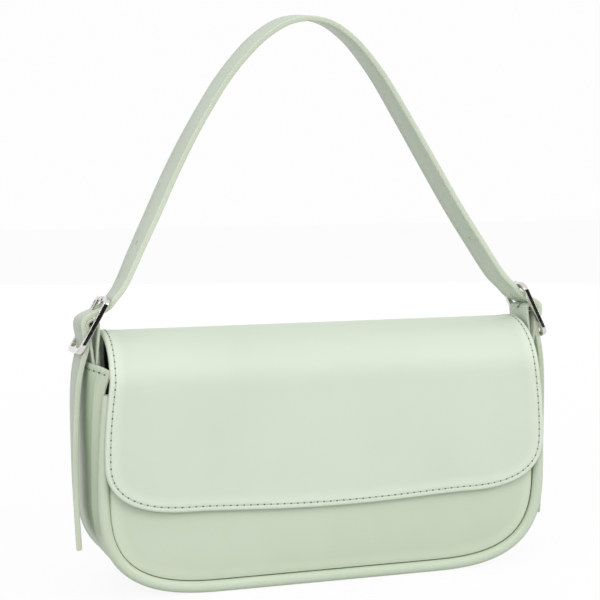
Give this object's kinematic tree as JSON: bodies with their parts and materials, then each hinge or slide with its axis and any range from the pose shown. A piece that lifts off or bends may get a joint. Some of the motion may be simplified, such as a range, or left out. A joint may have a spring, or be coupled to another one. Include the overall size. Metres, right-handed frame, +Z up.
{
  "type": "shoulder bag",
  "caption": "Structured leather shoulder bag with piped seams, a wide front flap with round corners, and one short strap held by a metal buckle at each side.",
  "frame": {"origin": "middle of the bag's overall width and depth, on the ground", "axes": "+Z up, -Y towards the flap's front, +X to the viewer's right"},
  "size_m": [0.2828, 0.0708, 0.3123],
  "materials": {
    "shell_leather": "smooth coated leather, mint green",
    "flap_leather": "smooth coated leather, mint green",
    "strap_leather": "smooth coated leather, mint green",
    "flap_lining": "smooth coated leather, mint green",
    "lining": "black woven lining",
    "stiffener": "grey fibre board",
    "magnet": "plated disc",
    "buckle_nickel": "polished nickel"
  },
  "bodies": {
    "bag": {"front_panel": "shell_leather", "back_panel": "shell_leather", "gusset": "shell_leather", "front_piping": "shell_leather", "back_piping": "shell_leather", "front_board": "stiffener", "back_board": "stiffener", "base_board": "stiffener", "front_lining": "lining", "back_lining": "lining", "gusset_lining": "lining", "slip_pocket": "lining", "magnet_body": "magnet", "flap_top": "flap_leather", "flap_top_lining": "flap_lining", "left_tab": "strap_leather", "right_tab": "strap_leather"},
    "flap": {"flap_front": "flap_leather", "flap_stiffener": "stiffener", "flap_front_lining": "flap_lining", "magnet_flap": "magnet"},
    "strap": {"strap": "strap_leather", "left_buckle_frame": "buckle_nickel", "right_buckle_frame": "buckle_nickel"},
    "left_prong": {"left_prong": "buckle_nickel"},
    "right_prong": {"right_prong": "buckle_nickel"}
  },
  "joints": [
    {"name": "flap_lift", "type": "hinge", "parent": "bag", "child": "flap", "pos_m": [0, -0.02218, 0.13606], "axis": [-1, 0, 0], "range_deg": [0, 120]},
    {"name": "strap_swing", "type": "hinge", "parent": "bag", "child": "strap", "pos_m": [0, -0.00517, 0.145], "axis": [1, 0, 0], "range_deg": [-45, 30], "deforming": ["left_tab", "right_tab"]},
    {"name": "left_prong_tilt", "type": "hinge", "parent": "strap", "child": "left_prong", "pos_m": [-0.1285, -0.00517, 0.145], "axis": [0, -0.9981, 0.061], "range_deg": [0, 8]},
    {"name": "right_prong_tilt", "type": "hinge", "parent": "strap", "child": "right_prong", "pos_m": [0.1285, -0.00517, 0.145], "axis": [0, 0.9981, -0.061], "range_deg": [0, 8]}
  ]
}
